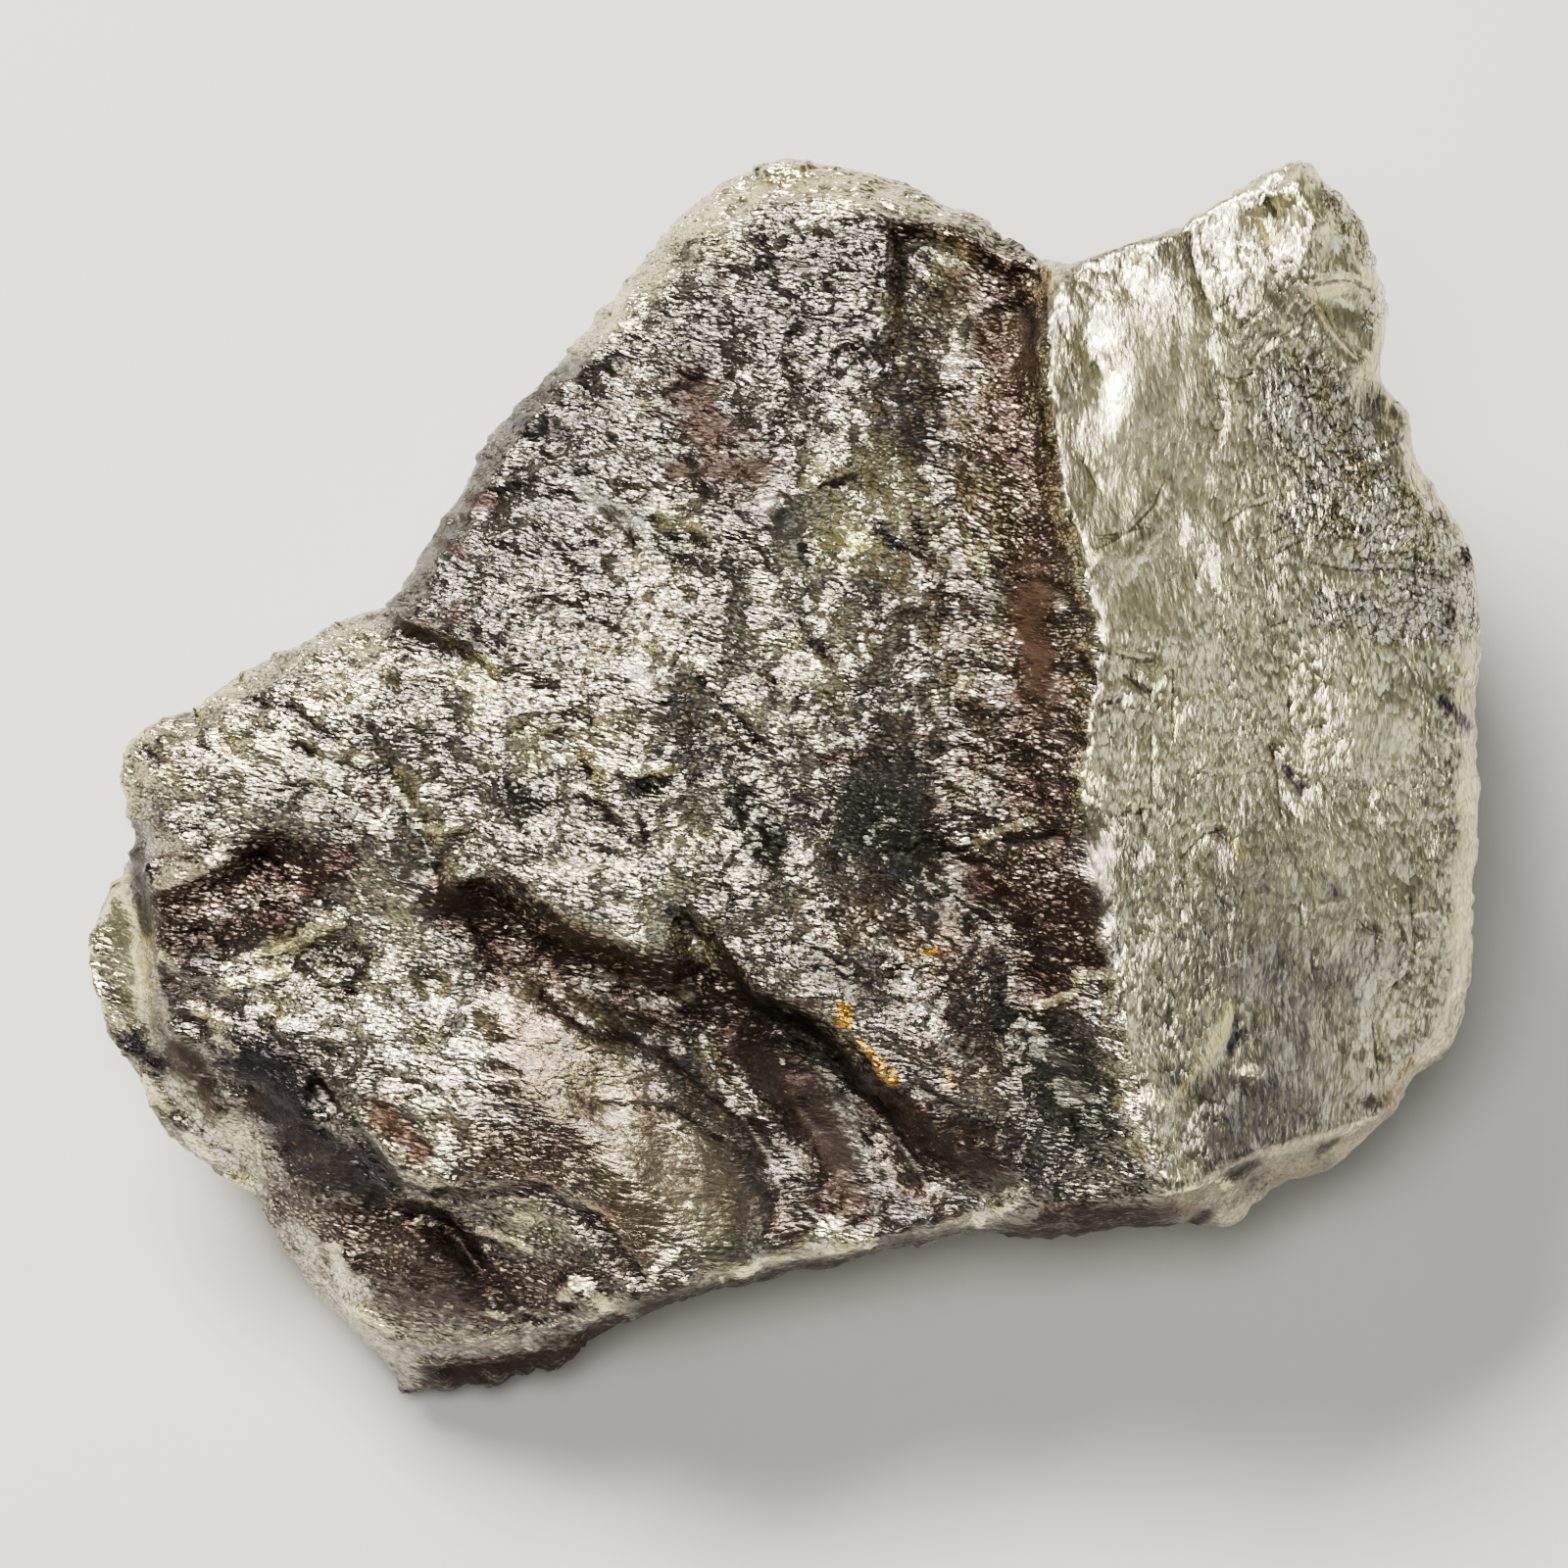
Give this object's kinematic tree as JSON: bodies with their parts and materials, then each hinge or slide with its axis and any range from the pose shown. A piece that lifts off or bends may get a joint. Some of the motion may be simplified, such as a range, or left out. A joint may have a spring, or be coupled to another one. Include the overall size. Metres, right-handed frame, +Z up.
{
  "type": "massive pyrite specimen",
  "caption": "Broken lump of massive pyrite with a ridged, stepped and hollowed metallic show face, resting on a flat fracture.",
  "frame": {"origin": "centre of the bounding box in plan, at the flat fracture that the lump rests on", "axes": "+Z up; +X to the right along the longest side; +Y to the back, where the lump is tallest; the show face looks up and a little to the front"},
  "size_m": [0.0676, 0.0572, 0.0358],
  "materials": {
    "pyrite": "metallic, silvery champagne, hackly and crinkled like foil, with brown, rust and blue tarnish in the hollows"
  },
  "bodies": {
    "root": {"pyrite_mass": "pyrite"}
  },
  "joints": []
}
